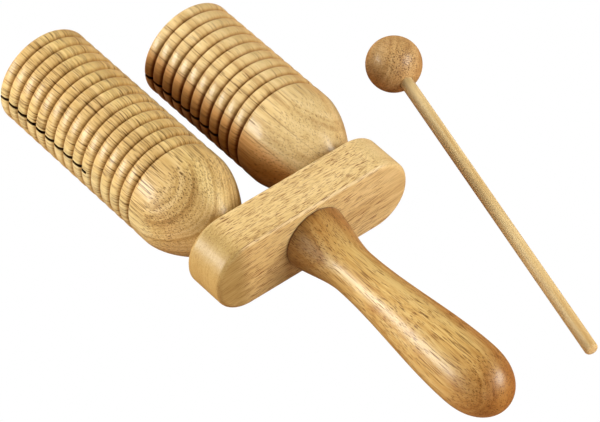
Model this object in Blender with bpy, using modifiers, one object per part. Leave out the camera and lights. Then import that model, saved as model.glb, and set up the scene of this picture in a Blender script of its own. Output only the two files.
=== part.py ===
"""Two-tone wooden guiro with its ball-headed beater.

Two turned tone blocks, ridged round the outside and bored from their far ends,
stand side by side on a solid wooden crossbar, with a turned handle behind it.
The beater is a wooden ball on a round stick and lies beside the instrument.

Frame: metres, +Z up, +Y from the handle towards the open ends of the blocks,
+X to the right as the handle points at the player. The origin is the centre of
the crossbar's flat underside, and the blocks' axes run parallel to Y.
"""
import math
from typing import NamedTuple

import bmesh
import bpy
from mathutils import Vector

MM = 0.001
GAP = 0.3 * MM                   # clearance between neighbouring solids

# Crossbar: a slab with rounded ends and softened rims
BAR_W = 101.0 * MM               # along X
BAR_T = 21.4 * MM                # along Y
BAR_H = 35.3 * MM                # along Z
BAR_CORNER_R = 16.9 * MM         # rounding of each end, seen along Y
BAR_EDGE_R = 2.2 * MM            # softening of the front and rear rims
BAR_FRONT_Y = BAR_T / 2
AXIS_Z = BAR_H / 2               # height of every turned axis on the instrument

# Tone blocks
BLOCK_R = 23.4 * MM              # radius over the ridges
BLOCK_X = 28.7 * MM              # each axis, either side of the handle
BLOCK_FACE_Y = BAR_FRONT_Y + GAP  # end of each block next to the crossbar
DOME_Y = 40.3 * MM               # where the barrel turns into its round end
DOME_TIP_R = 7.8 * MM            # the round end's tip, against the crossbar
DOME_POWER = 1.65                # fullness of the round end
RIM_R = 1.7 * MM                 # rounding of the open end's outer edge
RIM_LAND = 5.65 * MM             # open end to the first groove
BORE_R = 18.4 * MM
BORE_CHAMFER = 0.5 * MM

# Ridges; stations are fractions of a pitch from one groove's bottom to the next
RIDGE_PITCH = 6.47 * MM
RIDGE_DEPTH = 1.6 * MM
RIDGE_CROWN = 0.2                # share of the depth in the gentle crown
RIDGE_POWER = 5.0                # steepness of each ridge's shoulders
RIM_STATIONS = (0.74, 0.9)       # into the first groove
RIDGE_STATIONS = (0.0, 0.1, 0.26, 0.74, 0.9)
LAST_STATIONS = (0.0, 0.1, 0.26, 0.5)   # out of the last groove to the crown

# Saw slit along each block, through both walls
KERF = 1.5 * MM
KERF_W = 2.4 * BLOCK_R           # cutter width, wider than the block
KERF_OVERRUN = 5.0 * MM          # cutter length beyond the open end

# Dowels
BLOCK_DOWEL_R = 4.0 * MM
BLOCK_DOWEL_IN_BAR = 14.0 * MM
BLOCK_DOWEL_IN_BLOCK = 20.0 * MM
HANDLE_DOWEL_R = 5.0 * MM
HANDLE_DOWEL_IN_BAR = 13.0 * MM
HANDLE_DOWEL_IN_HANDLE = 24.0 * MM
DOWEL_CHAMFER = 0.8 * MM
DRILL_OVERRUN = 1.0 * MM         # drill start outside the crossbar's face

# Handle, measured back from the crossbar's rear face
HANDLE_L = 120.6 * MM
HANDLE_BASE_R = 15.0 * MM
HANDLE_BASE_SLOPE = -0.12        # change of radius with distance at the base
HANDLE_WAIST_R = 10.2 * MM
HANDLE_WAIST_S = 26.7 * MM
HANDLE_SWELL_R = 15.0 * MM
HANDLE_SWELL_S = 97.5 * MM
BUTT_POWER = 2.35                # fullness of the butt

# Beater, lying on the plane the blocks lie on
FLOOR_Z = AXIS_Z - BLOCK_R
HEAD_R = 12.5 * MM
HEAD_X = 98.3 * MM
HEAD_Y = 55.5 * MM
STICK_R = 3.0 * MM
STICK_REACH = 179.0 * MM         # ball centre to the stick's far end
STICK_IN_HEAD = 15.0 * MM        # how far the stick goes into the ball
STICK_TIP_R = 1.6 * MM           # rounding of the far end
STICK_CHAMFER = 0.6 * MM         # on the end inside the ball
BEATER_YAW = 12.8                # degrees, stick swung from -Y towards -X

# Facets round each kind of part, and steps along the curved profiles
BLOCK_FACETS = 32
HANDLE_FACETS = 28
DOWEL_FACETS = 20
STICK_FACETS = 24
DRILL_FACETS = 24
RIM_STEPS = 3
DOME_STEPS = 8
BUTT_STEPS = 9
GRIP_STEPS = 14
STICK_TIP_STEPS = 4

# Rotations that aim local +Z along the instrument
FORWARD = (math.radians(-90.0), 0.0, 0.0)     # to +Y
BACKWARD = (math.radians(90.0), 0.0, 0.0)     # to -Y

WOODS = {   # name: (base colour, roughness)
    "low_block_wood": ((0.60, 0.38, 0.16), 0.38),
    "high_block_wood": ((0.57, 0.35, 0.15), 0.38),
    "crossbar_wood": ((0.62, 0.39, 0.17), 0.40),
    "handle_wood": ((0.50, 0.27, 0.10), 0.30),
    "dowel_wood": ((0.70, 0.52, 0.32), 0.60),
    "beater_head_wood": ((0.48, 0.27, 0.11), 0.40),
    "beater_stick_wood": ((0.62, 0.42, 0.20), 0.45),
}


class Block(NamedTuple):
    """What differs between the two tone blocks."""
    pitch: str                   # "low" or "high", used in the names
    x: float
    rim_y: float                 # open end
    bore_depth: float
    grooves: int
    kerf_end_y: float            # closed end of the slit
    kerf_roll: float             # degrees about the block's axis


BLOCKS = (
    Block(pitch="low", x=-BLOCK_X, rim_y=139.2 * MM, bore_depth=88.0 * MM,
          grooves=14, kerf_end_y=77.6 * MM, kerf_roll=6.0),
    Block(pitch="high", x=BLOCK_X, rim_y=112.6 * MM, bore_depth=62.0 * MM,
          grooves=10, kerf_end_y=61.2 * MM, kerf_roll=-2.0),
)


# ---------------------------------------------------------------- helpers

def clear_scene():
    for obj in list(bpy.data.objects):
        bpy.data.objects.remove(obj, do_unlink=True)


def new_collection(name):
    group = bpy.data.collections.new(name)
    bpy.context.scene.collection.children.link(group)
    return group


def wood(name, colour, roughness):
    material = bpy.data.materials.new(name)
    material.use_nodes = True
    inputs = material.node_tree.nodes["Principled BSDF"].inputs
    inputs["Base Color"].default_value = (*colour, 1.0)
    inputs["Roughness"].default_value = roughness
    inputs["Metallic"].default_value = 0.0
    return material


def finish_mesh(name, bm):
    """Turn a bmesh into a named mesh and free it."""
    mesh = bpy.data.meshes.new(name)
    bm.to_mesh(mesh)
    bm.free()
    return mesh


def smooth(mesh):
    mesh.shade_smooth()
    mesh.set_sharp_from_angle(angle=math.radians(40.0))


def add_object(name, data, group, location=(0.0, 0.0, 0.0), rotation=(0.0, 0.0, 0.0)):
    obj = bpy.data.objects.new(name, data)
    group.objects.link(obj)
    obj.location = location
    obj.rotation_euler = rotation
    return obj


def turned(name, profile, facets, group, material, **placing):
    """Turn a profile of (radius, height) points about local Z."""
    bm = bmesh.new()
    verts = [bm.verts.new((radius, 0.0, height)) for radius, height in profile]
    for pair in zip(verts, verts[1:]):
        bm.edges.new(pair)
    mesh = finish_mesh(name, bm)
    mesh.materials.append(material)
    obj = add_object(name, mesh, group, **placing)
    screw = obj.modifiers.new("Turn", 'SCREW')
    screw.angle = math.radians(360.0)
    screw.steps = facets
    screw.render_steps = facets
    screw.use_merge_vertices = True
    screw.merge_threshold = 0.00001
    screw.use_smooth_shade = True
    return obj


def add_cutter(name, bm, cutters, **placing):
    obj = add_object(name, finish_mesh(name, bm), cutters, **placing)
    obj.hide_render = True
    obj.display_type = 'WIRE'
    return obj


def drill(name, radius, length, cutters, **placing):
    """A cylinder cutter that starts at its origin and runs along local +Z."""
    bm = bmesh.new()
    bmesh.ops.create_cone(bm, cap_ends=True, segments=DRILL_FACETS,
                          radius1=radius, radius2=radius, depth=length)
    bmesh.ops.translate(bm, verts=bm.verts, vec=(0.0, 0.0, length / 2))
    return add_cutter(name, bm, cutters, **placing)


def cut(obj, cutter):
    boolean = obj.modifiers.new("Cut " + cutter.name, 'BOOLEAN')
    boolean.operation = 'DIFFERENCE'
    boolean.solver = 'EXACT'
    boolean.object = cutter


# ---------------------------------------------------------------- profiles

def rounded_rim(outer_radius, top, rounding, steps):
    """Quarter circle from the top face out and down to the side."""
    points = []
    for i in range(steps + 1):
        angle = math.radians(90.0 * (1 - i / steps))
        points.append((outer_radius - rounding + rounding * math.cos(angle),
                       top - rounding + rounding * math.sin(angle)))
    return points


def hermite(start, start_tangent, end, end_tangent, t):
    return ((2 * t**3 - 3 * t**2 + 1) * start + (t**3 - 2 * t**2 + t) * start_tangent
            + (-2 * t**3 + 3 * t**2) * end + (t**3 - t**2) * end_tangent)


def ridge_radius(station):
    """Outer radius at a station from 0 to 1 between two groove bottoms."""
    off_crown = abs(2.0 * station - 1.0)
    return BLOCK_R - RIDGE_DEPTH * (RIDGE_CROWN * off_crown**2
                                    + (1.0 - RIDGE_CROWN) * off_crown**RIDGE_POWER)


def ridge_points(first_groove_y, grooves):
    """Grooves and ridges from the rim towards the round end."""
    runs = [RIM_STATIONS] + [RIDGE_STATIONS] * (grooves - 1) + [LAST_STATIONS]
    return [(ridge_radius(station), first_groove_y - (i - 1 + station) * RIDGE_PITCH)
            for i, stations in enumerate(runs) for station in stations]


def block_profile(block):
    """Bore, rim, ridges, round end and dowel hole, heights along +Y."""
    rim_y = block.rim_y
    bore_end_y = rim_y - block.bore_depth
    points = [(0.0, bore_end_y), (BORE_R, bore_end_y),
              (BORE_R, rim_y - BORE_CHAMFER), (BORE_R + BORE_CHAMFER, rim_y)]
    points += rounded_rim(BLOCK_R, rim_y, RIM_R, RIM_STEPS)
    points += ridge_points(rim_y - RIM_LAND, block.grooves)
    for i in range(DOME_STEPS + 1):
        t = i / DOME_STEPS
        points.append((BLOCK_R - (BLOCK_R - DOME_TIP_R) * t**DOME_POWER,
                       DOME_Y + (BLOCK_FACE_Y - DOME_Y) * t))
    hole_r = BLOCK_DOWEL_R + GAP
    hole_end_y = BLOCK_FACE_Y + BLOCK_DOWEL_IN_BLOCK + GAP
    return points + [(hole_r, BLOCK_FACE_Y), (hole_r, hole_end_y), (0.0, hole_end_y)]


def handle_radius(distance):
    """Outer radius of the handle at a distance behind the crossbar."""
    if distance <= HANDLE_WAIST_S:
        return hermite(HANDLE_BASE_R, HANDLE_BASE_SLOPE * HANDLE_WAIST_S,
                       HANDLE_WAIST_R, 0.0, distance / HANDLE_WAIST_S)
    if distance <= HANDLE_SWELL_S:
        t = (distance - HANDLE_WAIST_S) / (HANDLE_SWELL_S - HANDLE_WAIST_S)
        return hermite(HANDLE_WAIST_R, 0.0, HANDLE_SWELL_R, 0.0, t)
    t = (distance - HANDLE_SWELL_S) / (HANDLE_L - HANDLE_SWELL_S)
    return HANDLE_SWELL_R * (1.0 - t**BUTT_POWER) ** 0.5


def handle_profile():
    """Butt first, then the grip, the waist, the flared base and dowel hole."""
    distances = []
    for i in range(1, BUTT_STEPS):
        # sine spacing crowds the points towards the butt's end
        t = math.sin(math.radians(90.0 * (BUTT_STEPS - i) / BUTT_STEPS))
        distances.append(HANDLE_SWELL_S + (HANDLE_L - HANDLE_SWELL_S) * t)
    distances += [HANDLE_SWELL_S + (GAP - HANDLE_SWELL_S) * i / GRIP_STEPS
                  for i in range(GRIP_STEPS + 1)]
    hole_r = HANDLE_DOWEL_R + GAP
    hole_end = HANDLE_DOWEL_IN_HANDLE + GAP
    return ([(0.0, HANDLE_L)]
            + [(handle_radius(distance), distance) for distance in distances]
            + [(hole_r, GAP), (hole_r, hole_end), (0.0, hole_end)])


def dowel_profile(radius, in_bar, beyond_bar):
    """A chamfered peg through a crossbar face, heights from the bar's centre."""
    bottom = BAR_T / 2 - in_bar
    top = BAR_T / 2 + beyond_bar
    end_r = radius - DOWEL_CHAMFER
    return [(0.0, top), (end_r, top), (radius, top - DOWEL_CHAMFER),
            (radius, bottom + DOWEL_CHAMFER), (end_r, bottom), (0.0, bottom)]


def stick_profile():
    """Rounded far end first, then the chamfered end inside the ball."""
    start = HEAD_R - STICK_IN_HEAD
    return ([(0.0, STICK_REACH)]
            + rounded_rim(STICK_R, STICK_REACH, STICK_TIP_R, STICK_TIP_STEPS)
            + [(STICK_R, start + STICK_CHAMFER), (STICK_R - STICK_CHAMFER, start),
               (0.0, start)])


# ---------------------------------------------------------------- pieces

def kerf_plate(name, block, cutters):
    """A thin plate across the whole block, running out past the rim."""
    length = block.rim_y - block.kerf_end_y + KERF_OVERRUN
    bm = bmesh.new()
    bmesh.ops.create_cube(bm, size=1.0)
    bmesh.ops.scale(bm, verts=bm.verts, vec=(KERF_W, length, KERF))
    bmesh.ops.translate(bm, verts=bm.verts,
                        vec=(0.0, block.kerf_end_y + length / 2, 0.0))
    return add_cutter(name, bm, cutters, location=(block.x, 0.0, AXIS_Z),
                      rotation=(0.0, math.radians(block.kerf_roll), 0.0))


def tone_block(block, group, cutters, material):
    name = f"{block.pitch}_tone_block"
    obj = turned(name, block_profile(block), BLOCK_FACETS, group, material,
                 location=(block.x, 0.0, AXIS_Z), rotation=FORWARD)
    cut(obj, kerf_plate(name + "_kerf", block, cutters))


def crossbar_mesh():
    bm = bmesh.new()
    bmesh.ops.create_cube(bm, size=1.0)
    bmesh.ops.scale(bm, verts=bm.verts, vec=(BAR_W, BAR_T, BAR_H))
    edges_along_y = [edge for edge in bm.edges
                     if abs(edge.verts[0].co.y - edge.verts[1].co.y) > BAR_T / 2]
    bmesh.ops.bevel(bm, geom=edges_along_y, offset=BAR_CORNER_R, segments=9,
                    profile=0.5, affect='EDGES')
    return finish_mesh("crossbar", bm)


def crossbar(group, cutters, material):
    mesh = crossbar_mesh()
    mesh.materials.append(material)
    smooth(mesh)
    obj = add_object("crossbar", mesh, group, location=(0.0, 0.0, AXIS_Z))
    bevel = obj.modifiers.new("Soft rims", 'BEVEL')
    bevel.width = BAR_EDGE_R
    bevel.segments = 3
    bevel.limit_method = 'ANGLE'
    bevel.angle_limit = math.radians(50.0)
    # dowel holes: two from the front face, one from the rear
    start_y = BAR_FRONT_Y + DRILL_OVERRUN
    for block in BLOCKS:
        cut(obj, drill(f"bar_hole_{block.pitch}", BLOCK_DOWEL_R + GAP,
                       BLOCK_DOWEL_IN_BAR + GAP + DRILL_OVERRUN, cutters,
                       location=(block.x, start_y, AXIS_Z), rotation=BACKWARD))
    cut(obj, drill("bar_hole_handle", HANDLE_DOWEL_R + GAP,
                   HANDLE_DOWEL_IN_BAR + GAP + DRILL_OVERRUN, cutters,
                   location=(0.0, -start_y, AXIS_Z), rotation=FORWARD))


def handle(group, material):
    turned("handle", handle_profile(), HANDLE_FACETS, group, material,
           location=(0.0, -BAR_T / 2, AXIS_Z), rotation=BACKWARD)


def dowels(group, material):
    for block in BLOCKS:
        profile = dowel_profile(BLOCK_DOWEL_R, BLOCK_DOWEL_IN_BAR, BLOCK_DOWEL_IN_BLOCK)
        turned(f"{block.pitch}_block_dowel", profile, DOWEL_FACETS, group, material,
               location=(block.x, 0.0, AXIS_Z), rotation=FORWARD)
    profile = dowel_profile(HANDLE_DOWEL_R, HANDLE_DOWEL_IN_BAR, HANDLE_DOWEL_IN_HANDLE)
    turned("handle_dowel", profile, DOWEL_FACETS, group, material,
           location=(0.0, 0.0, AXIS_Z), rotation=BACKWARD)


def beater_frame(group):
    """Empty at the ball's centre, its Z along the stick and down to the floor."""
    drop = (HEAD_R - STICK_R) / STICK_REACH
    level = math.sqrt(1.0 - drop**2)
    yaw = math.radians(BEATER_YAW)
    along = Vector((-math.sin(yaw) * level, -math.cos(yaw) * level, -drop))
    frame = add_object("beater_frame", None, group,
                       location=(HEAD_X, HEAD_Y, FLOOR_Z + HEAD_R))
    frame.rotation_mode = 'QUATERNION'
    frame.rotation_quaternion = along.to_track_quat('Z', 'Y')
    return frame


def beater_head(frame, group, cutters, material):
    bm = bmesh.new()
    bmesh.ops.create_uvsphere(bm, u_segments=26, v_segments=14, radius=HEAD_R)
    mesh = finish_mesh("beater_head", bm)
    mesh.materials.append(material)
    smooth(mesh)
    head = add_object("beater_head", mesh, group)
    head.parent = frame
    hole = drill("head_hole", STICK_R + GAP, HEAD_R + STICK_IN_HEAD, cutters,
                 location=(0.0, 0.0, HEAD_R - STICK_IN_HEAD - GAP))
    hole.parent = frame
    cut(head, hole)


def beater_stick(frame, group, material):
    stick = turned("beater_stick", stick_profile(), STICK_FACETS, group, material)
    stick.parent = frame


def main():
    clear_scene()
    group = new_collection("guiro")
    cutters = new_collection("cutters")
    woods = {name: wood(name, colour, roughness)
             for name, (colour, roughness) in WOODS.items()}

    for block in BLOCKS:
        tone_block(block, group, cutters, woods[f"{block.pitch}_block_wood"])
    crossbar(group, cutters, woods["crossbar_wood"])
    handle(group, woods["handle_wood"])
    dowels(group, woods["dowel_wood"])
    frame = beater_frame(group)
    beater_head(frame, group, cutters, woods["beater_head_wood"])
    beater_stick(frame, group, woods["beater_stick_wood"])


main()
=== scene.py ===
"""Two-tone wooden guiro and its beater, in lacquered wood.

The crossbar lies along X, the low tone block (at -X) and the high one (at +X)
reach out to +Y, and the handle reaches to -Y. The beater lies on the floor at
+X, its ball towards +Y. Lengths are in metres and angles in degrees.

The three glued dowels stay as CAD nodes; every other piece is a fine mesh.
Each carries a "grain" attribute, whose Z runs along the wood's grain, so the
wood is a solid texture that the surface cuts as it does real timber.
"""

import math
from dataclasses import dataclass

import bmesh
import bpy
from mathutils import Matrix, Vector

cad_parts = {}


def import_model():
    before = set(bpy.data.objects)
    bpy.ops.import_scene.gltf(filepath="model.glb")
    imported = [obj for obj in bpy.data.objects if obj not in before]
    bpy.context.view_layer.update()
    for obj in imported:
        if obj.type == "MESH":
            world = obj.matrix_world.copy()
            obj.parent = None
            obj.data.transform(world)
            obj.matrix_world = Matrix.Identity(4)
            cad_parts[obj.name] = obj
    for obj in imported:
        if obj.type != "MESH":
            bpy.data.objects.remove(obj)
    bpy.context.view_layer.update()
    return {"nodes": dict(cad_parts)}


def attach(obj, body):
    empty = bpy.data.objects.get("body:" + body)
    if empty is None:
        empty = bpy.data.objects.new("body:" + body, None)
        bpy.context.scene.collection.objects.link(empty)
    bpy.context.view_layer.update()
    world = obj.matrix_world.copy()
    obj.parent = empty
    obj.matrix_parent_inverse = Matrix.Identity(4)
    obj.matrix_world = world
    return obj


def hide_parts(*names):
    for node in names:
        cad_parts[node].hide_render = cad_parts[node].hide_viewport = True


MM = 0.001
SEAM = 0.06 * MM                 # hairline left between glued pieces

# crossbar
BAR_W, BAR_T, BAR_H = 101.0 * MM, 21.4 * MM, 35.3 * MM      # along X, Y, Z
BAR_CORNER_R, BAR_EDGE_R = 16.9 * MM, 2.2 * MM
BAR_GRAIN_SLOPE = 5.0
AXIS_Z = BAR_H / 2

# dowel holes: radius, and depth in the crossbar and in the glued-on piece
BLOCK_HOLE_R, BLOCK_HOLE_IN_BAR, BLOCK_HOLE_DEPTH = 4.35 * MM, 14.4 * MM, 20.4 * MM
HANDLE_HOLE_R, HANDLE_HOLE_IN_BAR, HANDLE_HOLE_DEPTH = 5.35 * MM, 13.4 * MM, 24.4 * MM
HOLE_OVERSHOOT = 1.0 * MM        # how far a hole's cutter stands proud

# tone blocks: Y is measured from the crossbar's middle
BLOCK_R, BLOCK_X = 23.4 * MM, 28.7 * MM
BLOCK_FACE_Y = BAR_T / 2 + SEAM
BLOCK_FACE_RING_R = 5.2 * MM     # a ring of vertices on the glued face
DOME_Y, TIP_R, DOME_POWER = 40.3 * MM, 7.8 * MM, 1.65
RIM_R, RIM_INNER_R, RIM_LAND = 1.7 * MM, 0.8 * MM, 5.65 * MM
BORE_R, BORE_CORNER_R, BORE_DISH = 18.4 * MM, 2.5 * MM, 0.2 * MM
KERF = 1.5 * MM

# ridges: the profile is a blend of t**2 (share `crown`) and t**power
RIDGE_PITCH, RIDGE_DEPTH = 6.47 * MM, 1.6 * MM
RIDGE_CROWN, RIDGE_POWER = 0.2, 5.0
WORN_CROWN, WORN_POWER = 0.35, 3.2   # rounder on the crossbar side of each ridge
GROOVE_ROUNDING = 0.30 * MM
# places in pitches, from one groove (0) over a ridge's top to the next (1)
RIDGE_STATIONS = (0.0, 0.02, 0.045, 0.08, 0.13, 0.2, 0.28, 0.38, 0.5,
                  0.62, 0.72, 0.8, 0.87, 0.92, 0.955, 0.98)
LAND_STATIONS = (0.5, 0.6, 0.7, 0.8, 0.87, 0.92, 0.955, 0.98)
RIDGE_TOP = RIDGE_STATIONS.index(0.5)


@dataclass
class Block:
    """What sets one tone block apart."""
    name: str
    x: float
    rim_y: float
    bore_depth: float
    grooves: int
    kerf_end_y: float            # the slit runs from here out through the rim
    kerf_roll: float


LOW_BLOCK = Block("low", x=-BLOCK_X, rim_y=139.2 * MM, bore_depth=88.0 * MM,
                  grooves=14, kerf_end_y=77.6 * MM, kerf_roll=6.0)
HIGH_BLOCK = Block("high", x=BLOCK_X, rim_y=112.6 * MM, bore_depth=62.0 * MM,
                   grooves=10, kerf_end_y=61.2 * MM, kerf_roll=-2.0)

# handle: distances from the crossbar's -Y face
HANDLE_L = 120.6 * MM
BASE_R, BASE_SLOPE = 15.0 * MM, -0.12
BASE_EDGE_R, BASE_RING_R = 0.5 * MM, 7.0 * MM
WAIST_R, WAIST_S = 10.2 * MM, 26.7 * MM
SWELL_R, SWELL_S = 15.0 * MM, 97.5 * MM
END_POWER = 2.35                 # bluntness of the round end

# beater: distances from the ball's centre
HEAD_R, STICK_R, STICK_REACH = 12.5 * MM, 3.0 * MM, 179.0 * MM
STICK_IN_HEAD = 15.0 * MM
STICK_TIP_R, STICK_CHAMFER = 1.6 * MM, 0.6 * MM
HEAD_HOLE_R = STICK_R + 0.06 * MM
HEAD_HOLE_SPARE = 0.3 * MM       # left beyond the stick's buried end
# lightly broken edge of the hole: out from its wall, up from the sphere's edge
HEAD_HOLE_LIP = ((0.06 * MM, -0.13 * MM), (0.0, -0.35 * MM))
HEAD_LIP_ANGLE = 1.2             # where the sphere stops short of the hole
HEAD_X, HEAD_Y, BEATER_YAW = 98.3 * MM, 55.5 * MM, 12.8
HEAD_GRAIN_AXIS = (-0.18, -0.70, 0.69)

# floor
FLOOR_Z = AXIS_Z - BLOCK_R
FLOOR_DROP = 0.05 * MM           # keeps the floor clear of the pieces
FLOOR_SIZE = 14.0
FLOOR_BOUNCE = (0.37, 0.165, 0.06)

# camera: azimuth is turned from -Y towards +X
CAM_AZIMUTH, CAM_ELEVATION, CAM_ROLL = -38.098, 46.049, -1.278
CAM_DIST = 1.763498
CAM_LENS, CAM_SENSOR = 254.50536, 36.0                      # millimetres
# the crossbar's centre as seen from the view's centre
BAR_RIGHT_IN_VIEW, BAR_UP_IN_VIEW = -0.783683 * MM, -4.641401 * MM

# lights: (name, azimuth, elevation, distance, width, height, watts, reflects)
LIGHTS = (
    ("key_left", -128.0, 20.0, 0.95, 0.60, 0.32, 3.6, True),
    ("left_wide", -118.0, 14.0, 0.95, 0.95, 0.60, 12.0, False),
    ("left_low", -118.0, 4.0, 0.95, 0.90, 0.13, 2.5, False),
    ("front_right", 30.0, 32.0, 1.2, 0.85, 0.55, 14.6, False),
    ("right_gloss", 46.0, 32.0, 1.1, 0.60, 0.40, 3.7, True),
    ("front_fill", -25.0, 12.0, 1.3, 0.90, 0.40, 3.9, False),
    ("back_fill", 165.0, 36.0, 1.2, 0.95, 0.55, 12.3, False),
)
LIGHT_TARGET = Vector((0.0, 0.0, 0.01))
GLOSS_TINT = (1.0, 1.0, 0.92)    # colour of the lights that reflect
WORLD_STRENGTH = 0.02            # as seen by the object; the camera sees 1


# ------------------------------------------------------------------ meshes

def link(ob):
    bpy.context.scene.collection.objects.link(ob)
    return ob


def mesh_object(name, bm):
    mesh = bpy.data.meshes.new(name)
    bm.to_mesh(mesh)
    bm.free()
    return link(bpy.data.objects.new(name, mesh))


def box_bmesh(*size):
    bm = bmesh.new()
    bmesh.ops.create_cube(bm, size=1.0)
    bmesh.ops.scale(bm, verts=bm.verts, vec=size)
    return bm


def arc(centre_r, centre_z, radius, start, end, steps):
    """Profile points round an arc, both ends included."""
    angles = [math.radians(start + (end - start) * i / steps)
              for i in range(steps + 1)]
    return [(centre_r + radius * math.cos(angle), centre_z + radius * math.sin(angle))
            for angle in angles]


def straight(radius, start, end, steps):
    """Profile points along a straight wall, both ends left out."""
    return [(radius, start + (end - start) * i / steps) for i in range(1, steps)]


def lathe(name, profile, steps):
    """Turn (radius, height) points about local Z, from pole to pole."""
    bm = bmesh.new()
    rings = []
    for r, z in profile:
        if r < 1e-9:
            rings.append([bm.verts.new((0.0, 0.0, z))])
            continue
        angles = [2 * math.pi * i / steps for i in range(steps)]
        rings.append([bm.verts.new((r * math.cos(angle), r * math.sin(angle), z))
                      for angle in angles])
    for ring, after in zip(rings, rings[1:]):
        for i in range(steps):
            j = (i + 1) % steps
            if len(ring) == 1:
                bm.faces.new((ring[0], after[i], after[j]))
            elif len(after) == 1:
                bm.faces.new((ring[i], after[0], ring[j]))
            else:
                bm.faces.new((ring[i], after[i], after[j], ring[j]))
    bmesh.ops.recalc_face_normals(bm, faces=bm.faces)
    return mesh_object(name, bm)


def apply_modifiers(ob):
    bpy.context.view_layer.update()
    depsgraph = bpy.context.evaluated_depsgraph_get()
    mesh = bpy.data.meshes.new_from_object(ob.evaluated_get(depsgraph))
    ob.modifiers.clear()
    old = ob.data
    ob.data = mesh
    bpy.data.meshes.remove(old)


def smooth(ob, angle):
    ob.data.shade_smooth()
    ob.data.set_sharp_from_angle(angle=math.radians(angle))


def cut(ob, cutters):
    """Take the cutters out of the piece, then remove them."""
    for cutter in cutters:
        mod = ob.modifiers.new("cut", 'BOOLEAN')
        mod.operation = 'DIFFERENCE'
        mod.solver = 'EXACT'
        mod.object = cutter
    apply_modifiers(ob)
    for cutter in cutters:
        bpy.data.objects.remove(cutter, do_unlink=True)


# ------------------------------------------------------------------ tone blocks

def ridge_radius(station):
    """Block radius `station` pitches past a groove, 0 to 1."""
    t = abs(2.0 * station - 1.0)
    crown, power = ((RIDGE_CROWN, RIDGE_POWER) if station < 0.5
                    else (WORN_CROWN, WORN_POWER))
    radius = BLOCK_R - RIDGE_DEPTH * (crown * t * t + (1.0 - crown) * t**power)
    floor = BLOCK_R - RIDGE_DEPTH + GROOVE_ROUNDING * 0.5
    near = max(GROOVE_ROUNDING - abs(radius - floor), 0.0) / GROOVE_ROUNDING
    return max(radius, floor) + near * near * GROOVE_ROUNDING * 0.25


def block_profile(block):
    """Bore, rim, ridges, round end and dowel hole; heights are world Y."""
    rim = block.rim_y
    bottom = rim - block.bore_depth
    wall_start = bottom + BORE_CORNER_R + BORE_DISH
    wall_end = rim - RIM_INNER_R
    points = [(0.0, bottom), (BORE_R * 0.6, bottom + BORE_DISH)]
    points += arc(BORE_R - BORE_CORNER_R, wall_start, BORE_CORNER_R, -90, 0, 8)
    points += straight(BORE_R, wall_start, wall_end, 12)
    points += arc(BORE_R + RIM_INNER_R, wall_end, RIM_INNER_R, 180, 90, 5)
    points += arc(BLOCK_R - RIM_R, rim - RIM_R, RIM_R, 90, 0, 10)

    # from the rim's plain land into the first groove, then ridge by ridge
    first = rim - RIM_LAND
    last = first - (block.grooves - 1) * RIDGE_PITCH
    points += [(ridge_radius(u), first + (1.0 - u) * RIDGE_PITCH)
               for u in LAND_STATIONS]
    for k in range(block.grooves - 1):
        groove = first - k * RIDGE_PITCH
        points += [(ridge_radius(u), groove - u * RIDGE_PITCH)
                   for u in RIDGE_STATIONS]
    points += [(ridge_radius(u), last - u * RIDGE_PITCH)
               for u in RIDGE_STATIONS[:RIDGE_TOP + 1]]
    points += straight(BLOCK_R, last - RIDGE_PITCH / 2, DOME_Y, 4)

    dome_steps = 44
    for i in range(dome_steps + 1):
        t = i / dome_steps
        points.append((BLOCK_R - (BLOCK_R - TIP_R) * t**DOME_POWER,
                       DOME_Y + (BLOCK_FACE_Y - DOME_Y) * t))
    hole_end = BLOCK_FACE_Y + BLOCK_HOLE_DEPTH
    return points + [(BLOCK_FACE_RING_R, BLOCK_FACE_Y), (BLOCK_HOLE_R, BLOCK_FACE_Y),
                     (BLOCK_HOLE_R, hole_end), (0.0, hole_end)]


def kerf_plate(block):
    """Cutter for the slit across the rim end."""
    length = block.rim_y - block.kerf_end_y + 5 * MM
    bm = box_bmesh(2.4 * BLOCK_R, length, KERF)
    bmesh.ops.translate(bm, verts=bm.verts,
                        vec=(0.0, block.kerf_end_y + length / 2, 0.0))
    plate = mesh_object("kerf_plate", bm)
    plate.location = (block.x, 0.0, AXIS_Z)
    plate.rotation_euler = (0.0, math.radians(block.kerf_roll), 0.0)
    return plate


def tone_block(block):
    ob = lathe(f"{block.name}_tone_block_fine", block_profile(block), 176)
    ob.location = (block.x, 0.0, AXIS_Z)
    # local Z goes to +Y, local Y to -Z, local X stays
    ob.rotation_euler = (math.radians(-90.0), 0.0, 0.0)
    cut(ob, [kerf_plate(block)])
    smooth(ob, 34.0)
    return ob


# ------------------------------------------------------------------ crossbar

def dowel_cutter(x, side, radius, depth):
    """Cylinder into the crossbar's +Y (side 1) or -Y (side -1) face."""
    length = depth + HOLE_OVERSHOOT
    bm = bmesh.new()
    bmesh.ops.create_cone(bm, cap_ends=True, segments=48, radius1=radius,
                          radius2=radius, depth=length)
    hole = mesh_object("hole", bm)
    hole.rotation_euler = (math.radians(90.0), 0.0, 0.0)
    hole.location = (x, side * (BAR_T / 2 + HOLE_OVERSHOOT - length / 2), AXIS_Z)
    return hole


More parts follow.
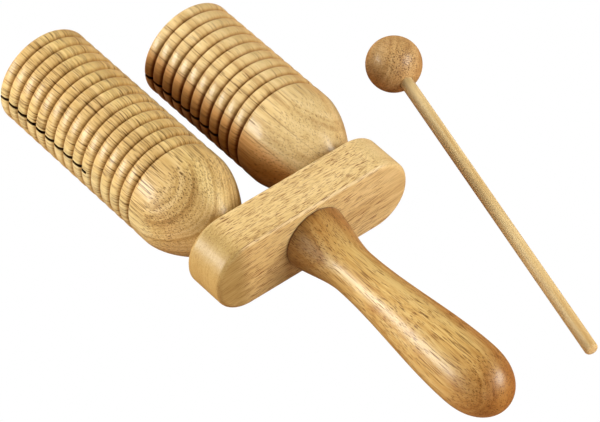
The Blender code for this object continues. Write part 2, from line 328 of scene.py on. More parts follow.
def crossbar():
    """Slab with rounded corners and rims, and three dowel holes."""
    bm = box_bmesh(BAR_H, BAR_T, BAR_W)
    corners = [e for e in bm.edges
               if abs(e.verts[0].co.y - e.verts[1].co.y) > BAR_T / 2]
    bmesh.ops.bevel(bm, geom=corners, offset=BAR_CORNER_R, segments=28,
                    profile=0.5, affect='EDGES')
    ob = mesh_object("crossbar_fine", bm)
    # local Z goes to +X, local X to -Z
    ob.rotation_euler = (0.0, math.radians(90.0), 0.0)
    ob.location = (0.0, 0.0, AXIS_Z)
    rim = ob.modifiers.new("rims", 'BEVEL')
    rim.width = BAR_EDGE_R
    rim.segments = 9
    rim.limit_method = 'ANGLE'
    rim.angle_limit = math.radians(50.0)
    apply_modifiers(ob)
    cut(ob, [dowel_cutter(-BLOCK_X, 1, BLOCK_HOLE_R, BLOCK_HOLE_IN_BAR),
             dowel_cutter(BLOCK_X, 1, BLOCK_HOLE_R, BLOCK_HOLE_IN_BAR),
             dowel_cutter(0.0, -1, HANDLE_HOLE_R, HANDLE_HOLE_IN_BAR)])
    bm = bmesh.new()
    bm.from_mesh(ob.data)
    bmesh.ops.recalc_face_normals(bm, faces=bm.faces)
    bm.to_mesh(ob.data)
    bm.free()
    smooth(ob, 40.0)
    weighted = ob.modifiers.new("normals", 'WEIGHTED_NORMAL')
    weighted.keep_sharp = True
    weighted.mode = 'FACE_AREA'
    return ob


# ------------------------------------------------------------------ handle

def ease(start, slope, end, t):
    """Cubic from `start`, leaving at `slope`, that arrives level at `end`."""
    return ((2 * t**3 - 3 * t**2 + 1) * start + (t**3 - 2 * t**2 + t) * slope
            + (-2 * t**3 + 3 * t**2) * end)


def handle_radius(s):
    """Radius `s` metres from the crossbar."""
    if s <= WAIST_S:
        return ease(BASE_R, BASE_SLOPE * WAIST_S, WAIST_R, s / WAIST_S)
    if s <= SWELL_S:
        return ease(WAIST_R, 0.0, SWELL_R, (s - WAIST_S) / (SWELL_S - WAIST_S))
    t = (s - SWELL_S) / (HANDLE_L - SWELL_S)
    return SWELL_R * max(0.0, 1.0 - t**END_POWER) ** 0.5


def handle():
    end_steps, side_steps = 40, 110
    foot = SEAM + BASE_EDGE_R
    stations = [SWELL_S + (HANDLE_L - SWELL_S)
                * math.sin(math.radians(90.0 * (end_steps - i) / end_steps))
                for i in range(1, end_steps)]
    stations += [SWELL_S + (foot - SWELL_S) * i / side_steps
                 for i in range(side_steps)]
    points = [(0.0, HANDLE_L)] + [(handle_radius(s), s) for s in stations]
    points += arc(handle_radius(foot) - BASE_EDGE_R, foot, BASE_EDGE_R, 0, -90, 6)
    points += [(BASE_RING_R, SEAM), (HANDLE_HOLE_R, SEAM),
               (HANDLE_HOLE_R, HANDLE_HOLE_DEPTH), (0.0, HANDLE_HOLE_DEPTH)]
    ob = lathe("handle_fine", points, 128)
    ob.location = (0.0, -BAR_T / 2, AXIS_Z)
    ob.rotation_euler = (math.radians(90.0), 0.0, 0.0)
    smooth(ob, 40.0)
    return ob


# ------------------------------------------------------------------ beater

def beater_pose():
    """Ball centre, and the turn that takes local Z along the stick."""
    drop = (HEAD_R - STICK_R) / STICK_REACH      # the stick's far end is down
    flat = math.sqrt(1.0 - drop**2)
    yaw = math.radians(BEATER_YAW)
    along = Vector((-math.sin(yaw) * flat, -math.cos(yaw) * flat, -drop))
    return Vector((HEAD_X, HEAD_Y, FLOOR_Z + HEAD_R)), along.to_track_quat('Z', 'Y')


def beater_piece(name, profile, steps, sharp_angle):
    ob = lathe(name, profile, steps)
    ob.rotation_mode = 'QUATERNION'
    ob.location, ob.rotation_quaternion = beater_pose()
    smooth(ob, sharp_angle)
    return ob


def beater_head():
    """Ball with a stick hole."""
    edge_angle = math.degrees(math.acos(HEAD_HOLE_R / HEAD_R))
    edge = HEAD_R * math.sin(math.radians(edge_angle))
    hole_end = HEAD_R - STICK_IN_HEAD - HEAD_HOLE_SPARE
    points = arc(0.0, 0.0, HEAD_R, -90, edge_angle - HEAD_LIP_ANGLE, 72)
    points += [(HEAD_HOLE_R + out, edge + up) for out, up in HEAD_HOLE_LIP]
    points += [(HEAD_HOLE_R, hole_end), (0.0, hole_end)]
    return beater_piece("beater_head_fine", points[::-1], 96, 38.0)


def beater_stick():
    tip = STICK_TIP_R
    start = HEAD_R - STICK_IN_HEAD
    points = [(0.0, STICK_REACH),
              (STICK_R - tip - 0.5 * MM, STICK_REACH - 0.02 * MM)]
    points += arc(STICK_R - tip, STICK_REACH - tip, tip, 88, 0, 12)
    points += straight(STICK_R, STICK_REACH - tip, start + STICK_CHAMFER, 60)
    points += [(STICK_R, start + STICK_CHAMFER), (STICK_R - STICK_CHAMFER, start),
               (0.0, start)]
    return beater_piece("beater_stick_fine", points, 48, 40.0)


# ------------------------------------------------------------------ woods

@dataclass
class Timber:
    """One lacquered hardwood. Places are in metres along the grain axes."""
    name: str
    seed: float
    light: tuple
    mid: tuple
    dark: tuple
    pore: tuple
    pith: tuple = (0.03, -0.05)  # centre of the growth rings at grain Z = 0
    lean: tuple = (0.0, 0.0)     # pith's drift in X and Y per unit of Z
    ring: float = 1.15           # width of rings and of bands, mm
    band: float = 4.5
    # how strongly each figure shifts the tone
    ring_amount: float = 0.5
    band_amount: float = 0.5
    fibres: float = 0.50
    streaks: float = 0.45
    blotch: float = 0.35
    end_rings: float = 1.0       # ring strength on a block's round end
    wobble: float = 1.0          # wander of the grain
    # single vessels: strength, share kept, length
    lines: float = 1.0
    line_keep: float = 0.9
    line_long: float = 0.015
    # larger open pores: strength, share kept, relative size
    pits: float = 0.8
    pit_keep: float = 0.3
    pit_size: float = 1.0
    # hair-fine lines: strength, noise threshold, width, length
    hair: float = 0.80
    hair_from: float = 0.575
    hair_wide: float = 0.00052
    hair_long: float = 0.012
    # pores thin out (from, to, share kept) by radius, and by distance along Z
    dots: tuple = ()
    end_fade: tuple = ()
    rough: float = 0.36
    shine: float = 0.5
    coat: float = 0.35
    coat_rough: float = 0.2
    bump: float = 1.0
    # tone blocks: their shape, painted shade in the grooves (soft, deep), more painted
    # shade in the grooves of the -X side
    block: Block = None
    groove: tuple = ()
    side_groove_shade: float = 0.0
    # glue seams (place, line strength, tint beyond) across seam_normal
    seam_normal: tuple = ()
    seams: tuple = ()
    painted_shade_side: tuple = ()            # (full at, gone at, tint) across seam_normal: painted shade
    # painted light and shade (place, tint) along one axis
    light_and_shade_axis: int = 0
    light_and_shade_tints: tuple = ()
    stain_and_shade: tuple = ()            # (darkest at, gone at, strength) along Z: ends stained darker, or painted shade in a joint
    cad: bool = False            # CAD node, with its grain along local Y


LOW_BLOCK_WOOD = Timber(
    "low_block_wood", 1.0, light=(0.611, 0.437, 0.208), mid=(0.497, 0.328, 0.127),
    dark=(0.334, 0.191, 0.063), pore=(0.100, 0.048, 0.017), pith=(0.120, -0.160),
    ring=1.25, band=5.5, ring_amount=0.32, band_amount=0.25, end_rings=2.4,
    fibres=0.80, streaks=0.20, blotch=0.22, wobble=0.6, hair=1.0,
    hair_wide=0.00042, hair_long=0.011, line_keep=1.0, line_long=0.014,
    pits=0.5, coat=0.55, coat_rough=0.15, end_fade=(0.030, 0.014, 0.35),
    # painted shade in the grooves (soft, deep)
    block=LOW_BLOCK, groove=(0.55, 0.30), seam_normal=(0.9272, 0.3746),
    seams=((0.014, 0.35, 0.97),),
    # painted light and shade across the block, from its -X side to its +X side
    light_and_shade_tints=((-0.0232, (1.04, 1.24, 1.43)), (-0.0215, (0.94, 0.99, 0.95)),
           (-0.018, (0.92, 0.91, 0.85)), (-0.0045, (0.94, 0.91, 0.83)),
           (0.002, (1.24, 1.30, 1.25)), (0.011, (1.12, 1.11, 1.04)),
           (0.019, (1.00, 1.03, 1.04))))

HIGH_BLOCK_WOOD = Timber(
    "high_block_wood", 4.0, light=(0.691, 0.532, 0.289), mid=(0.575, 0.412, 0.189),
    dark=(0.401, 0.241, 0.093), pore=(0.125, 0.058, 0.022), pith=(-0.100, -0.120),
    ring=1.4, band=7.0, ring_amount=0.28, band_amount=0.28, lines=0.6,
    line_keep=0.4, hair=0.5, hair_from=0.60, rough=0.30, coat=0.60,
    # painted shade: darker grooves, more so on the -X side
    coat_rough=0.15, block=HIGH_BLOCK, groove=(0.60, 0.40), side_groove_shade=0.9,
    seam_normal=(0.816, 0.578), seams=((0.0031, 0.8, 0.97), (-0.009, 0.65, 1.03)),
    # painted shade: the -X side redder and darker, where the low block shades it
    painted_shade_side=(-0.0125, -0.006, (1.08, 0.77, 0.56)))

CROSSBAR_WOOD = Timber(
    "crossbar_wood", 7.0, light=(0.688, 0.510, 0.241), mid=(0.592, 0.414, 0.170),
    dark=(0.402, 0.240, 0.086), pore=(0.165, 0.064, 0.018), pith=(-0.140, 0.030),
    lean=(0.02, 0.0), ring=1.3, band=6.0, ring_amount=0.30, band_amount=0.15,
    fibres=0.85, streaks=0.30, blotch=0.25, line_keep=1.0, line_long=0.013,
    pits=1.0, pit_keep=0.6, pit_size=0.70, hair=1.0, hair_from=0.59,
    hair_wide=0.00032, hair_long=0.006, rough=0.42, coat=0.45, coat_rough=0.21,
    end_fade=(0.033, 0.044, 0.25), light_and_shade_axis=2,
    # painted shade at the left end, painted light towards the right end
    light_and_shade_tints=((-0.041, (0.61, 0.57, 0.46)), (-0.031, (1.01, 0.98, 0.95)),
           (0.010, (1.01, 0.99, 1.0)), (0.045, (1.05, 1.05, 1.10))))

HANDLE_WOOD = Timber(
    "handle_wood", 11.0, light=(0.562, 0.380, 0.138), mid=(0.456, 0.270, 0.078),
    dark=(0.294, 0.130, 0.028), pore=(0.108, 0.036, 0.007), pith=(0.150, -0.060),
    lean=(0.02, 0.0), ring=1.4, band=7.0, ring_amount=0.40, fibres=0.70,
    streaks=0.60, line_keep=0.7, pits=1.0, pit_keep=0.45, pit_size=0.85,
    hair=0.76, hair_from=0.59, hair_wide=0.00042, rough=0.42, shine=0.85,
    coat=0.85, coat_rough=0.25,
    # ends stained darker, and painted shade laid twice over the joint against the
    # crossbar
    stain_and_shade=((0.0, 0.030, 0.80), (0.121, 0.090, 0.95),
           (0.0003, 0.0012, 0.9), (0.0003, 0.0012, 0.9)),
    # painted light on the -X side, painted shade on the +X side
    light_and_shade_tints=((-0.012, (0.97, 1.03, 1.12)), (-0.003, (1.04, 1.03, 1.0)),
           (0.001, (1.04, 1.03, 1.0)), (0.010, (0.88, 0.72, 0.64))))

BEATER_HEAD_WOOD = Timber(
    "beater_head_wood", 15.0, light=(0.576, 0.368, 0.159), mid=(0.463, 0.269, 0.099),
    dark=(0.319, 0.159, 0.053), pore=(0.067, 0.027, 0.011), pith=(0.040, -0.030),
    ring=1.3, band=5.0, ring_amount=0.30, band_amount=0.40, fibres=0.8,
    blotch=0.55, pits=1.0, pit_keep=0.9, pit_size=0.9, hair=1.0,
    hair_wide=0.00062, hair_long=0.006, dots=(0.0045, 0.0095, 0.35),
    rough=0.42, coat=0.5, coat_rough=0.24)

BEATER_STICK_WOOD = Timber(
    "beater_stick_wood", 19.0, light=(0.701, 0.532, 0.279), mid=(0.611, 0.432, 0.196),
    dark=(0.485, 0.300, 0.113), pore=(0.215, 0.109, 0.044), pith=(0.030, -0.020),
    ring=0.9, band=2.6, ring_amount=0.35, band_amount=0.40, fibres=0.0,
    streaks=0.9, blotch=0.3, lines=0.0, pits=0.7, pit_keep=0.12, hair=0.18,
    hair_from=0.55, hair_wide=0.0009, hair_long=0.035, rough=0.46, coat=0.15,
    coat_rough=0.3, bump=0.0)

DOWEL_WOOD = Timber(
    "dowel_wood", 23.0, light=(0.72, 0.53, 0.29), mid=(0.62, 0.43, 0.20),
    dark=(0.46, 0.28, 0.11), pore=(0.26, 0.13, 0.05), rough=0.6, coat=0.0, cad=True)

TIMBERS = (LOW_BLOCK_WOOD, HIGH_BLOCK_WOOD, CROSSBAR_WOOD, HANDLE_WOOD,
           BEATER_HEAD_WOOD, BEATER_STICK_WOOD, DOWEL_WOOD)

# colours that multiply the wood where it is darkened: painted shade in grooves, bore
# and slit, and a darker stained tone that is also painted shade in a joint
SOFT_GROOVE_SHADE, DEEP_GROOVE_SHADE = (0.66, 0.50, 0.34), (0.34, 0.20, 0.12)
SIDE_GROOVE_SHADE, BORE_SHADE = (0.38, 0.26, 0.20), (0.50, 0.40, 0.30)
KERF_SHADE, STAIN_AND_SHADE = (0.10, 0.06, 0.04), (0.62, 0.43, 0.27)


# ------------------------------------------------------------------ shaders

class Graph:
    """A new material, with short ways to add its nodes."""

    def __init__(self, name):
        self.material = bpy.data.materials.new(name)
        self.material.use_nodes = True
        self.tree = self.material.node_tree
        self.bsdf = self.tree.nodes["Principled BSDF"]

    def put(self, socket, value):
        if isinstance(value, bpy.types.NodeSocket):
            self.tree.links.new(value, socket)
        else:
            socket.default_value = value

    def node(self, kind, **props):
        node = self.tree.nodes.new(kind)
        for key, value in props.items():
            setattr(node, key, value)
        return node

    def math(self, operation, *values):
        node = self.node("ShaderNodeMath", operation=operation)
        for socket, value in zip(node.inputs, values):
            self.put(socket, value)
        return node.outputs[0]

    def multiply(self, first, second):
        return self.math('MULTIPLY', first, second)

    def multiply_add(self, value, factor, addend):
        return self.math('MULTIPLY_ADD', value, factor, addend)

    def hypotenuse(self, x, y):
        return self.math('SQRT', self.math('ADD', self.multiply(x, x),
                                           self.multiply(y, y)))

    def vector_math(self, operation, first, second):
        node = self.node("ShaderNodeVectorMath", operation=operation)
        self.put(node.inputs[0], first)
        self.put(node.inputs[1], second)
        return node.outputs[0]

    def split(self, vector):
        node = self.node("ShaderNodeSeparateXYZ")
        self.put(node.inputs[0], vector)
        return node.outputs

    def join(self, *values):
        node = self.node("ShaderNodeCombineXYZ")
        for socket, value in zip(node.inputs, values):
            self.put(socket, value)
        return node.outputs[0]

    def ramp(self, value, start, end, at_start=0.0, at_end=1.0, kind='SMOOTHSTEP'):
        node = self.node("ShaderNodeMapRange", interpolation_type=kind)
        for key, setting in (("Value", value), ("From Min", start),
                             ("From Max", end), ("To Min", at_start),
                             ("To Max", at_end)):
            self.put(node.inputs[key], setting)
        return node.outputs["Result"]

    def mix(self, factor, first, second, blend='MIX'):
        node = self.node("ShaderNodeMix", data_type='RGBA', blend_type=blend,
                         clamp_factor=True)
        self.put(node.inputs[0], factor)
        for index, colour in ((6, first), (7, second)):
            is_socket = isinstance(colour, bpy.types.NodeSocket)
            self.put(node.inputs[index], colour if is_socket else (*colour, 1.0))
        return node.outputs[2]

    def noise(self, vector, detail=2.0, rough=0.5):
        node = self.node("ShaderNodeTexNoise")
        self.put(node.inputs["Vector"], vector)
        self.put(node.inputs["Scale"], 1.0)
        self.put(node.inputs["Detail"], detail)
        self.put(node.inputs["Roughness"], rough)
        return node.outputs

    def stretch(self, vector, across, along, offset):
        """Scale so that one unit is `across` metres in XY and `along` in Z."""
        node = self.node("ShaderNodeMapping")
        self.put(node.inputs["Vector"], vector)
        node.inputs["Location"].default_value = offset
        node.inputs["Scale"].default_value = (1 / across, 1 / across, 1 / along)
        return node.outputs[0]


class WoodGraph(Graph):
    """Shader of one timber; each method adds a layer to the running values."""

    def __init__(self, timber):
        super().__init__(timber.name)
        self.timber = timber
        self.seed = timber.seed
        self.shift = (self.seed * 1.37, self.seed * -2.11, self.seed * 0.73)
        if timber.cad:
            x, y, z = self.split(self.node("ShaderNodeTexCoord").outputs["Object"])
            self.coord = self.join(x, z, y)
        else:
            self.coord = self.node(
                "ShaderNodeAttribute", attribute_type='GEOMETRY',
                attribute_name="grain").outputs["Vector"]
        self.axes = self.split(self.coord)
        self.x, self.y, self.z = self.axes
        self.radius = self.hypotenuse(self.x, self.y)

    def run_through_ridges(self):
        """Straight grain: the barrel's figure runs on through the ridges."""
        skin = self.multiply(
            self.ramp(self.z, DOME_Y, DOME_Y + 1.0 * MM),
            self.ramp(self.radius, BLOCK_R - 2.6 * MM, BLOCK_R - 1.8 * MM))
        excess = self.math('SUBTRACT', self.math('DIVIDE', BLOCK_R, self.radius), 1.0)
        grow = self.multiply_add(skin, excess, 1.0)
        self.coord = self.join(self.multiply(self.x, grow),
                               self.multiply(self.y, grow), self.z)

    def add_wander(self):
        """Let the grain wander a little."""
        self.wandering = self.coord
        # noise size across and along the grain, its detail, and the reach
        for across, along, detail, reach in ((0.030, 0.12, 2.0, 0.004),
                                             (0.005, 0.03, 1.0, 0.0009)):
            noise = self.noise(self.stretch(self.coord, across, along, self.shift),
                               detail=detail)
            centred = self.vector_math('SUBTRACT', noise["Color"], (0.5, 0.5, 0.5))
            reach *= self.timber.wobble
            self.wandering = self.vector_math(
                'ADD', self.wandering,
                self.vector_math('MULTIPLY', centred, (reach, reach, 0.0)))

    def pith_distance(self):
        """Distance from a pith line that leans across the piece."""
        *sides, z = self.split(self.wandering)
        x, y = [self.math('SUBTRACT', self.math('SUBTRACT', side, pith),
                          self.multiply(z, lean))
                for side, pith, lean in zip(sides, self.timber.pith, self.timber.lean)]
        return self.hypotenuse(x, y)

    def rings(self, distance, size, offset):
        node = self.node("ShaderNodeTexNoise", noise_dimensions='1D')
        self.put(node.inputs["W"], self.multiply_add(distance, 1000.0 / size, offset))
        self.put(node.inputs["Scale"], 1.0)
        self.put(node.inputs["Detail"], 1.0)
        return node.outputs["Fac"]

    def add_figure(self):
        """Base colour from rings, bands, fibres, streaks and soft patches."""
        timber = self.timber
        distance = self.pith_distance()
        thin = self.rings(distance, timber.ring, self.seed * 5.3)
        self.broad = self.rings(distance, timber.band, self.seed * 2.9)
        self.fibre, self.streak, self.patch = [
            self.noise(self.stretch(vector, across, along, self.shift),
                       rough=rough)["Fac"]
            for vector, across, along, rough in (
                (self.wandering, 0.00042, 0.010, 0.6),
                (self.wandering, 0.0022, 0.06, 0.55),
                (self.coord, 0.020, 0.045, 0.5))]
        # on a round end the rings come out as clear nested arcs
        end_figure = None
        if timber.end_rings != 1.0:
            end_figure = self.ramp(self.z, DOME_Y - 6.0 * MM, DOME_Y + 4.0 * MM,
                                   at_start=timber.end_rings, at_end=1.0)
        tone = 0.42                  # 0 is light, 0.5 mid and 1 dark
        for value, amount, ringed in (
                (thin, timber.ring_amount, True),
                (self.broad, timber.band_amount, True),
                (self.fibre, timber.fibres, False),
                (self.streak, timber.streaks, False),
                (self.patch, timber.blotch, False)):
            centred = self.math('SUBTRACT', value, 0.5)
            if ringed and end_figure:
                centred = self.multiply(centred, end_figure)
            tone = self.multiply_add(centred, amount * 2.0, tone)
        half = self.mix(self.ramp(tone, 0.0, 0.5, kind='LINEAR'),
                        timber.light, timber.mid)
        self.base = self.mix(self.ramp(tone, 0.5, 1.0, kind='LINEAR'),
                             half, timber.dark)

    def vessels(self, across, along, keep, width, offset):
        """Thin vessel lines: up to 1 in a line, 0 elsewhere."""
        cells = self.node("ShaderNodeTexVoronoi", feature='F1', distance='EUCLIDEAN')
        offset = tuple(self.seed * factor for factor in offset)
        self.put(cells.inputs["Vector"],
                 self.stretch(self.wandering, across, along, offset))
        self.put(cells.inputs["Scale"], 1.0)
        self.put(cells.inputs["Randomness"], 1.0)
        chance = self.node("ShaderNodeSeparateColor")
        self.put(chance.inputs[0], cells.outputs["Color"])
        red, green, blue = chance.outputs
        # each cell draws whether it is kept, its width and its depth
        here = self.ramp(red, 1.0 - keep, 1.0 - keep + 0.03)
        size = self.multiply_add(green, width * 0.8, width * 0.6)
        inside = self.math('DIVIDE', cells.outputs["Distance"], size)
        line = self.ramp(inside, 0.65, 1.0, at_start=1.0, at_end=0.0)
        depth = self.multiply_add(blue, 0.45, 0.55)
        return self.multiply(self.multiply(line, here), depth)

    def add_pores(self):
        """Hair-fine lines, then single vessels and larger open ones."""
        timber = self.timber
        hair_offset = (self.shift[2], self.shift[0], 0.3)
        hairs = self.noise(self.stretch(self.wandering, timber.hair_wide,
                                        timber.hair_long, hair_offset),
                           detail=1.0, rough=0.45)
        hair = self.ramp(hairs["Fac"], timber.hair_from, timber.hair_from + 0.06)
        lines = self.vessels(across=0.00056, along=timber.line_long,
                             keep=timber.line_keep, width=0.29,
                             offset=(3.1, 1.7, 0.9))
        pits = self.vessels(across=0.00105 * timber.pit_size,
                            along=0.0085 * timber.pit_size,
                            keep=timber.pit_keep, width=0.28,
                            offset=(2.3, -1.1, 4.1))
        lines = self.multiply(self.multiply(lines, timber.lines),
                              self.ramp(self.broad, 0.30, 0.6, at_start=0.6))
        gather = self.ramp(self.patch, 0.38, 0.62, at_start=0.25)
        pits = self.multiply(self.multiply(pits, timber.pits), gather)
        vessel = self.math('MAXIMUM', lines, pits)
        fades = []
        if timber.dots:
            fades.append((self.radius, timber.dots))
        if timber.end_fade:
            fades.append((self.math('ABSOLUTE', self.z), timber.end_fade))
        for place, (start, end, share) in fades:
            kept = self.ramp(place, start, end, at_start=1.0, at_end=share)
            hair = self.multiply(hair, kept)
            vessel = self.multiply(vessel, kept)
        hair_colour = tuple(0.25 * dark + 0.75 * pore
                            for dark, pore in zip(timber.dark, timber.pore))
        self.base = self.mix(self.multiply(hair, timber.hair), self.base, hair_colour)
        self.base = self.mix(vessel, self.base, timber.pore)
        self.vessel = vessel

    def add_lacquer(self):
        """Gloss and relief: vessels are sunk and duller."""
        timber = self.timber
        self.roughness = self.multiply_add(self.patch, 0.10, timber.rough - 0.05)
        self.roughness = self.multiply_add(self.vessel, 0.20, self.roughness)
        self.coat = self.multiply_add(self.vessel, -0.6 * timber.coat, timber.coat)
        self.specular = self.multiply_add(self.vessel, -0.3, timber.shine)
        height = self.multiply_add(self.vessel, -1.0, self.multiply(self.fibre, 0.30))
        self.height = self.multiply_add(self.streak, 0.5, height)

    def shade(self, amount, colour):
        tinted = self.mix(1.0, self.base, colour, 'MULTIPLY')
        self.base = self.mix(amount, self.base, tinted)

    def dull(self, mask, rougher=0.0):
        if rougher:
            self.roughness = self.multiply_add(mask, rougher, self.roughness)
        self.coat = self.multiply(self.coat, self.math('SUBTRACT', 1.0, mask))

    def add_seams(self):
        """Glue lines, a tint beyond each, and painted shade on one side."""
        timber = self.timber
        across = self.math('ADD', self.multiply(self.x, timber.seam_normal[0]),
                           self.multiply(self.y, timber.seam_normal[1]))
        on_end = self.ramp(self.z, 0.024, DOME_Y, at_start=0.35)
        for place, strength, tint in timber.seams:
            off = self.math('ABSOLUTE', self.math('SUBTRACT', across, place))
            line = self.ramp(off, 0.08 * MM, 0.27 * MM, at_start=strength, at_end=0.0)
            self.base = self.mix(self.multiply(on_end, line), self.base, timber.pore)
            self.shade(self.ramp(across, place - 0.1 * MM, place + 0.1 * MM),
                       (tint, tint * 0.985, tint * 0.95))
        # painted shade on the lower -X side, redder and darker where the other block
        # shades it
        if timber.painted_shade_side:
            full, gone, tint = timber.painted_shade_side
            self.shade(self.ramp(across, full, gone, at_start=1.0, at_end=0.0), tint)

    def add_groove_shade(self):
        """Painted shade in the grooves and on their shoulders."""
        soft_amount, deep_amount = self.timber.groove
        barrel = self.ramp(self.z, DOME_Y, DOME_Y + 0.6 * MM)
        sunk = self.math('SUBTRACT', BLOCK_R, self.radius)
        uneven = self.multiply_add(self.patch, 0.5, 0.75)
        soft, deep, matte = [
            self.multiply(self.ramp(sunk, start, end), barrel)
            for start, end in ((0.10 * MM, 0.95 * MM), (0.55 * MM, 1.35 * MM),
                               (0.12 * MM, 0.60 * MM))]
        self.shade(self.multiply(self.multiply(soft, uneven), soft_amount),
                   SOFT_GROOVE_SHADE)
        self.shade(self.multiply(deep, deep_amount), DEEP_GROOVE_SHADE)
        # painted shade: the grooves darker still on the -X side
        if self.timber.side_groove_shade:
            side = self.ramp(self.x, -0.021, -0.013,
                             at_start=self.timber.side_groove_shade, at_end=0.0)
            self.shade(self.multiply(soft, side), SIDE_GROOVE_SHADE)
        self.dull(matte, rougher=0.30)
        self.specular = self.multiply_add(matte, -0.42, self.specular)

    def add_bore(self):
        inner = self.multiply(
            self.ramp(self.radius, BORE_R + 0.1 * MM, BORE_R + 0.5 * MM,
                      at_start=1.0, at_end=0.0),
            self.ramp(self.z, DOME_Y, DOME_Y + 0.5 * MM))
        self.shade(self.multiply(inner, 0.9), BORE_SHADE)
        self.dull(inner, rougher=0.35)

    def add_kerf(self):
        """Darken the slit's walls."""
        roll = math.radians(self.timber.block.kerf_roll)
        end = self.timber.block.kerf_end_y
        off = self.math('ABSOLUTE', self.math(
            'ADD', self.multiply(self.x, math.sin(roll)),
            self.multiply(self.y, math.cos(roll))))
        wall = self.multiply(
            self.ramp(off, KERF / 2, KERF / 2 + 0.08 * MM, at_start=1.0, at_end=0.0),
            self.ramp(self.z, end - 0.1 * MM, end))
        wall = self.multiply(wall, self.ramp(self.radius, BORE_R - 0.5 * MM,
                                             BORE_R - 0.1 * MM))
        self.shade(wall, KERF_SHADE)
        self.dull(wall)

    def add_light_and_shade(self):
        """Painted light and shade, along one grain axis."""
        stops = self.timber.light_and_shade_tints
        tint = stops[0][1]
        for (start, _), (end, colour) in zip(stops, stops[1:]):
            blend = self.ramp(self.axes[self.timber.light_and_shade_axis], start, end)
            tint = self.mix(blend, tint, colour)
        self.base = self.mix(1.0, self.base, tint, 'MULTIPLY')

    def finish(self):
        bump = self.node("ShaderNodeBump")
        self.put(bump.inputs["Strength"], 0.45 * self.timber.bump)
        self.put(bump.inputs["Distance"], 0.00012)
        self.put(bump.inputs["Height"], self.height)
        for key, value in (
                ("Base Color", self.base), ("Roughness", self.roughness),
                ("Metallic", 0.0), ("IOR", 1.45),
                ("Specular IOR Level", self.specular), ("Coat Weight", self.coat),
                ("Coat Roughness", self.timber.coat_rough), ("Coat IOR", 1.5),
                ("Normal", bump.outputs[0])):
            self.put(self.bsdf.inputs[key], value)


def wood(timber):
    graph = WoodGraph(timber)
    if timber.block:
        graph.run_through_ridges()
    graph.add_wander()
    graph.add_figure()
    graph.add_pores()
    graph.add_lacquer()
    if timber.seams:
        graph.add_seams()
    if timber.block:
        graph.add_groove_shade()
        graph.add_bore()
        graph.add_kerf()
    if timber.light_and_shade_tints:
        graph.add_light_and_shade()
    # ends stained darker, and painted shade in a joint
    for start, end, strength in timber.stain_and_shade:
        graph.shade(graph.ramp(graph.z, start, end, at_start=strength, at_end=0.0),
                    STAIN_AND_SHADE)
    graph.finish()
    return graph.material


def floor_material():
    """Plain white to the camera, dim to the object, so grazing views of the
    wood keep their colour."""
    graph = Graph("studio_floor")
    graph.tree.nodes.remove(graph.bsdf)
    path = graph.node("ShaderNodeLightPath")
    diffuse = graph.node("ShaderNodeBsdfDiffuse")
    graph.put(diffuse.inputs["Color"], (*FLOOR_BOUNCE, 1.0))
    glow = graph.node("ShaderNodeEmission")
    graph.put(glow.inputs["Color"], (1.0, 1.0, 1.0, 1.0))
    graph.put(glow.inputs["Strength"], 1.0)
    pick = graph.node("ShaderNodeMixShader")
    for socket, source in zip(pick.inputs, (path.outputs["Is Camera Ray"],
                                            diffuse.outputs[0], glow.outputs[0])):
        graph.put(socket, source)
    graph.put(graph.tree.nodes["Material Output"].inputs["Surface"], pick.outputs[0])
    return graph.material


# ------------------------------------------------------------------ stage

def direction(azimuth, elevation):
    """Unit vector; azimuth is turned from -Y towards +X."""
    a, e = math.radians(azimuth), math.radians(elevation)
    return Vector((math.sin(a) * math.cos(e), -math.cos(a) * math.cos(e),
                   math.sin(e)))


def floor():
    bm = bmesh.new()
    bmesh.ops.create_grid(bm, x_segments=4, y_segments=4, size=FLOOR_SIZE)
    ob = mesh_object("studio_floor", bm)
    ob.location = (0.0, 0.0, FLOOR_Z - FLOOR_DROP)
    ob.data.materials.append(floor_material())


def lights():
    for name, azimuth, elevation, distance, width, height, watts, reflects in LIGHTS:
        back = direction(azimuth, elevation)
        data = bpy.data.lights.new(name, 'AREA')
        data.shape = 'RECTANGLE'
        data.size, data.size_y = width, height
        data.energy = watts
        data.color = GLOSS_TINT if reflects else (1.0, 1.0, 1.0)
        lamp = link(bpy.data.objects.new(name, data))
        lamp.location = LIGHT_TARGET + back * distance
        lamp.rotation_mode = 'QUATERNION'
        lamp.rotation_quaternion = back.to_track_quat('Z', 'Y')
        lamp.visible_glossy = reflects
        lamp.visible_camera = False


def world():
    """White behind the object, almost dark as a light."""
    studio = bpy.data.worlds.new("studio")
    bpy.context.scene.world = studio
    studio.use_nodes = True
    tree = studio.node_tree
    background = tree.nodes["Background"]
    background.inputs["Color"].default_value = (1.0, 1.0, 1.0, 1.0)
    path = tree.nodes.new("ShaderNodeLightPath")
    pick = tree.nodes.new("ShaderNodeMix")
    pick.data_type = 'FLOAT'
    tree.links.new(path.outputs["Is Camera Ray"], pick.inputs[0])
    pick.inputs[2].default_value = WORLD_STRENGTH
    pick.inputs[3].default_value = 1.0
    tree.links.new(pick.outputs[0], background.inputs["Strength"])


def view_settings():
    view = bpy.context.scene.view_settings
    view.view_transform = 'Standard'
    view.look = 'None'
    view.exposure = 0.0
    view.gamma = 1.0


def camera():
    back = direction(CAM_AZIMUTH, CAM_ELEVATION)
    right = (-back).cross(Vector((0.0, 0.0, 1.0))).normalized()
    up = right.cross(-back)
    roll = math.radians(CAM_ROLL)
    right, up = (math.cos(roll) * right + math.sin(roll) * up,
                 math.cos(roll) * up - math.sin(roll) * right)
    place = Vector((0.0, 0.0, AXIS_Z)) - (
        right * BAR_RIGHT_IN_VIEW + up * BAR_UP_IN_VIEW - back * CAM_DIST)
    data = bpy.data.cameras.new("camera")
    data.sensor_fit = 'HORIZONTAL'
    data.sensor_width = CAM_SENSOR
    data.lens = CAM_LENS
    data.clip_start, data.clip_end = 0.05, 60.0
    ob = link(bpy.data.objects.new("camera", data))
    ob.matrix_world = Matrix((*zip(right, up, back, place), (0.0, 0.0, 0.0, 1.0)))
    bpy.context.scene.camera = ob


# ------------------------------------------------------------------ build

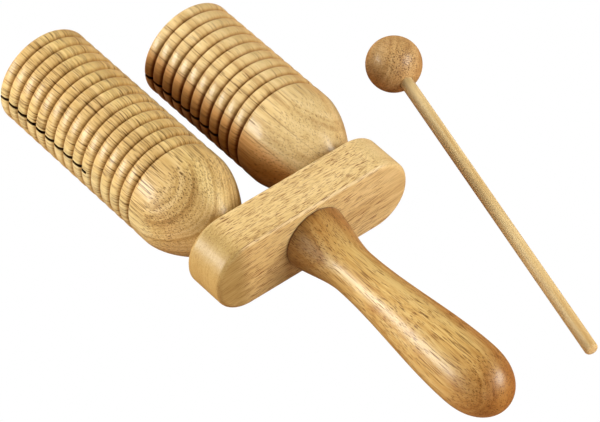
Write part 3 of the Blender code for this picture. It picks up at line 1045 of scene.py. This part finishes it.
def grain_frame(*rows):
    """World to grain axes, from the rows for grain X, Y and Z."""
    return Matrix((*rows, (0, 0, 0, 1)))


def beater_grain(turn):
    """World to axes at the ball's centre, turned so."""
    return turn.to_matrix().to_4x4().inverted() @ Matrix.Translation(-beater_pose()[0])


def place(ob, body, slot, material, grain):
    """Freeze the piece in the world frame and store its grain coordinates."""
    bpy.context.view_layer.update()
    mesh = ob.data
    mesh.transform(ob.matrix_world)
    ob.rotation_mode = 'XYZ'
    ob.matrix_world = Matrix.Identity(4)
    layer = mesh.attributes.new("grain", 'FLOAT_VECTOR', 'POINT')
    for item, vertex in zip(layer.data, mesh.vertices):
        item.vector = grain @ vertex.co
    mesh.materials.clear()
    mesh.materials.append(material)
    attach(ob, body)
    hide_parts(ob.name.removesuffix("_fine"))


def build_pieces(woods):
    def add(ob, body, slot, grain):
        place(ob, body, slot, woods[slot], grain)

    for block in (LOW_BLOCK, HIGH_BLOCK):
        add(tone_block(block), "instrument", f"{block.name}_block_wood",
            grain_frame((1, 0, 0, -block.x), (0, 0, 1, -AXIS_Z), (0, 1, 0, 0)))
    # the bar's grain climbs a little, so its top shows short vessel dashes
    add(crossbar(), "instrument", "crossbar_wood",
        Matrix.Rotation(math.radians(BAR_GRAIN_SLOPE), 4, 'X')
        @ grain_frame((0, 1, 0, 0), (0, 0, 1, -AXIS_Z), (1, 0, 0, 0)))
    add(handle(), "instrument", "handle_wood",
        grain_frame((1, 0, 0, 0), (0, 0, 1, -AXIS_Z), (0, -1, 0, -BAR_T / 2)))
    add(beater_head(), "beater", "beater_head_wood",
        beater_grain(Vector(HEAD_GRAIN_AXIS).to_track_quat('Z', 'Y')))
    add(beater_stick(), "beater", "beater_stick_wood",
        beater_grain(beater_pose()[1]))


def main():
    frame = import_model()

    woods = {timber.name: wood(timber) for timber in TIMBERS}
    build_pieces(woods)
    for node in ("low_block_dowel", "high_block_dowel", "handle_dowel"):
        slots = frame["nodes"][node].data.materials
        slots.clear()
        slots.append(woods["dowel_wood"])

    floor()
    lights()
    world()
    view_settings()
    camera()


main()
